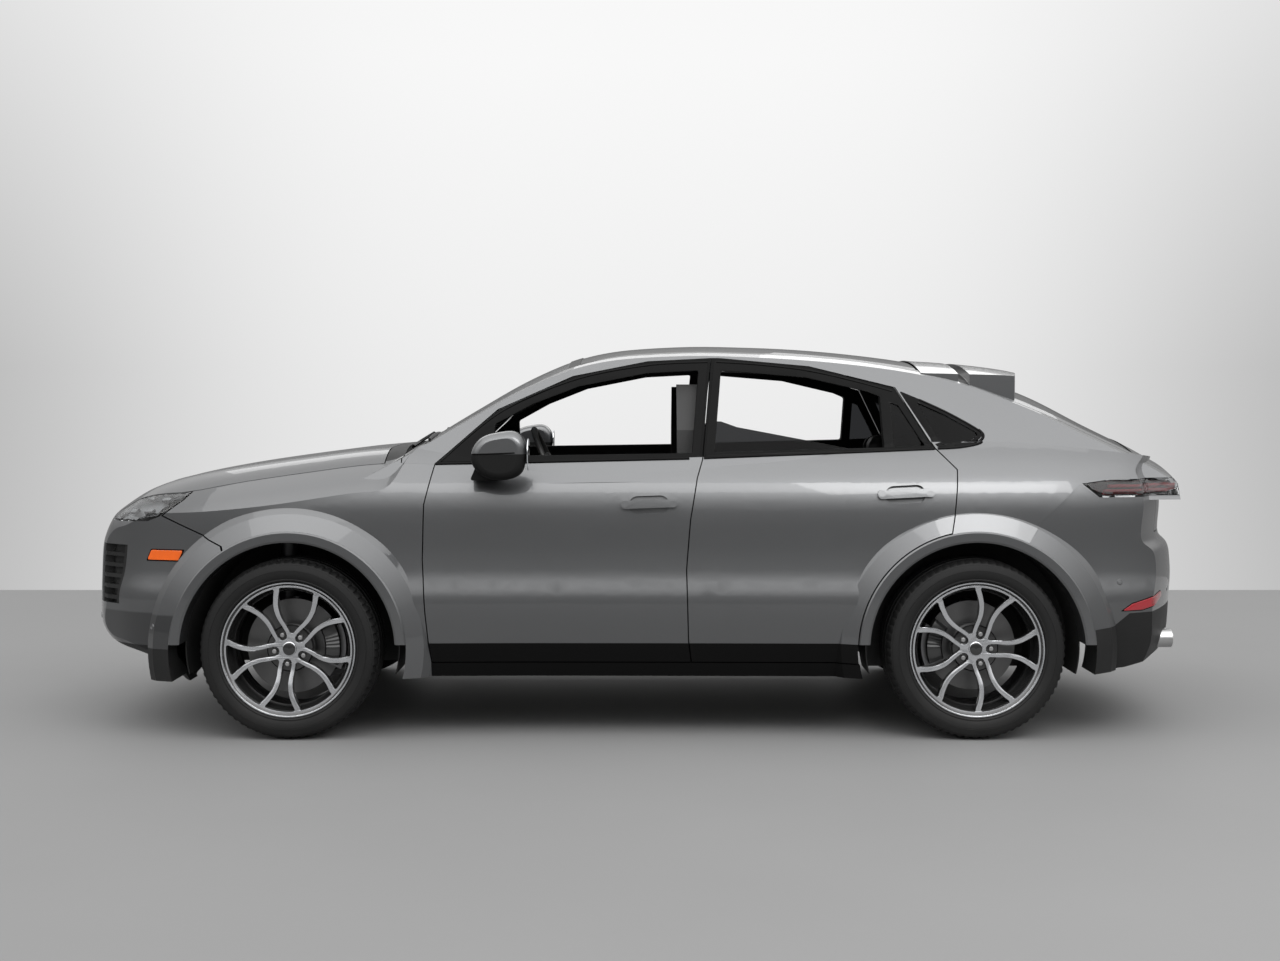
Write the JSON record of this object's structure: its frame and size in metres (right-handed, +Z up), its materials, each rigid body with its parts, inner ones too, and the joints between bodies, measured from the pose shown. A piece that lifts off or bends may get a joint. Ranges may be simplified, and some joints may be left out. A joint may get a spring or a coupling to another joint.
{
  "type": "coupe sport utility vehicle",
  "caption": "Coupe-roofed sport utility vehicle on alloy wheels, with doors, hood, tailgate, steering and wheels that move.",
  "frame": {"origin": "on the ground below the middle of the car's bounding box", "axes": "+Z up, -X towards the nose, +X towards the tail, -Y towards the car's left side"},
  "size_m": [4.9059, 2.194, 1.684],
  "materials": {
    "black_trim": "fine grain",
    "cabin_plastic": "soft touch",
    "chassis_alloy": "cast",
    "disc_iron": "ground",
    "engine_alloy": "cast",
    "glass": "tinted",
    "lamp_glass": "clear cover",
    "paint": "metallic gloss",
    "seat_leather": "soft",
    "steel_pipe": "brushed",
    "structure": "satin black",
    "tail_glass": "smoked red",
    "tyre": "matte rubber",
    "wheel_alloy": "machined face"
  },
  "bodies": {
    "body": {"arch_trims": "black_trim", "dashboard": "cabin_plastic", "engine_block": "engine_alloy", "exhaust": "steel_pipe", "firewall_cowl": "black_trim", "floor_pan": "structure", "front_bumper": "paint", "front_fenders": "paint", "front_seats": "seat_leather", "front_skirt": "black_trim", "front_suspension": "chassis_alloy", "front_wheelhouses": "cabin_plastic", "grille": "black_trim", "headlamps": "lamp_glass", "inner_pillars": "structure", "quarter_glasses": "glass", "rear_bumper": "paint", "rear_diffuser": "black_trim", "rear_seat": "seat_leather", "rear_suspension": "chassis_alloy", "rear_wheelhouses": "cabin_plastic", "roof_frame": "black_trim", "roof_glass": "glass", "side_frame_left": "paint", "side_frame_right": "paint", "spoiler_base": "paint", "steering_wheel": "seat_leather", "tail_lamps": "tail_glass", "windshield": "glass"},
    "front_door_left": {"door_mirror_left": "black_trim", "front_door_left": "paint"},
    "front_door_right": {"door_mirror_right": "black_trim", "front_door_right": "paint"},
    "front_wheel_left": {"front_brake_disc_left": "disc_iron", "front_tyre_left": "tyre", "front_wheel_left": "wheel_alloy"},
    "front_wheel_right": {"front_brake_disc_right": "disc_iron", "front_tyre_right": "tyre", "front_wheel_right": "wheel_alloy"},
    "front_knuckle_left": {"front_knuckle_left": "chassis_alloy"},
    "front_knuckle_right": {"front_knuckle_right": "chassis_alloy"},
    "hood": {"hood": "paint"},
    "rear_wheel_left": {"rear_brake_disc_left": "disc_iron", "rear_tyre_left": "tyre", "rear_wheel_left": "wheel_alloy"},
    "rear_wheel_right": {"rear_brake_disc_right": "disc_iron", "rear_tyre_right": "tyre", "rear_wheel_right": "wheel_alloy"},
    "rear_door_left": {"rear_door_glass_left": "glass", "rear_door_left": "paint"},
    "rear_door_right": {"rear_door_glass_right": "glass", "rear_door_right": "paint"},
    "tailgate": {"rear_glass": "glass", "roof_spoiler": "paint", "tail_light_bar": "tail_glass", "tailgate": "paint"}
  },
  "joints": [
    {"name": "steer_left", "type": "hinge", "parent": "body", "child": "front_knuckle_left", "pos_m": [-1.49, -0.775, 0.381], "axis": [0, 0, 1], "range_deg": [-35, 35]},
    {"name": "front_wheel_spin_left", "type": "hinge", "parent": "front_knuckle_left", "child": "front_wheel_left", "pos_m": [-1.49, -0.838, 0.381], "axis": [0, 1, 0], "continuous": true},
    {"name": "rear_wheel_spin_left", "type": "hinge", "parent": "body", "child": "rear_wheel_left", "pos_m": [1.405, -0.825, 0.381], "axis": [0, 1, 0], "continuous": true},
    {"name": "front_door_hinge_left", "type": "hinge", "parent": "body", "child": "front_door_left", "pos_m": [-0.928, -0.968, 0.7], "axis": [0, 0, -1], "range_deg": [0, 65]},
    {"name": "rear_door_hinge_left", "type": "hinge", "parent": "body", "child": "rear_door_left", "pos_m": [0.182, -0.968, 0.7], "axis": [0, 0, -1], "range_deg": [0, 68]},
    {"name": "steer_right", "type": "hinge", "parent": "body", "child": "front_knuckle_right", "pos_m": [-1.49, 0.775, 0.381], "axis": [0, 0, 1], "range_deg": [-35, 35]},
    {"name": "front_wheel_spin_right", "type": "hinge", "parent": "front_knuckle_right", "child": "front_wheel_right", "pos_m": [-1.49, 0.838, 0.381], "axis": [0, 1, 0], "continuous": true},
    {"name": "rear_wheel_spin_right", "type": "hinge", "parent": "body", "child": "rear_wheel_right", "pos_m": [1.405, 0.825, 0.381], "axis": [0, 1, 0], "continuous": true},
    {"name": "front_door_hinge_right", "type": "hinge", "parent": "body", "child": "front_door_right", "pos_m": [-0.928, 0.968, 0.7], "axis": [0, 0, 1], "range_deg": [0, 65]},
    {"name": "rear_door_hinge_right", "type": "hinge", "parent": "body", "child": "rear_door_right", "pos_m": [0.182, 0.968, 0.7], "axis": [0, 0, 1], "range_deg": [0, 68]},
    {"name": "hood_hinge", "type": "hinge", "parent": "body", "child": "hood", "pos_m": [-1.113, 0, 1.234], "axis": [0, 1, 0], "range_deg": [0, 58]},
    {"name": "tailgate_hinge", "type": "hinge", "parent": "body", "child": "tailgate", "pos_m": [1.446, 0, 1.577], "axis": [0, -1, 0], "range_deg": [0, 72]}
  ],
  "couplings": [
    {"joint": "steer_right", "follows": "steer_left", "ratio": 1}
  ]
}
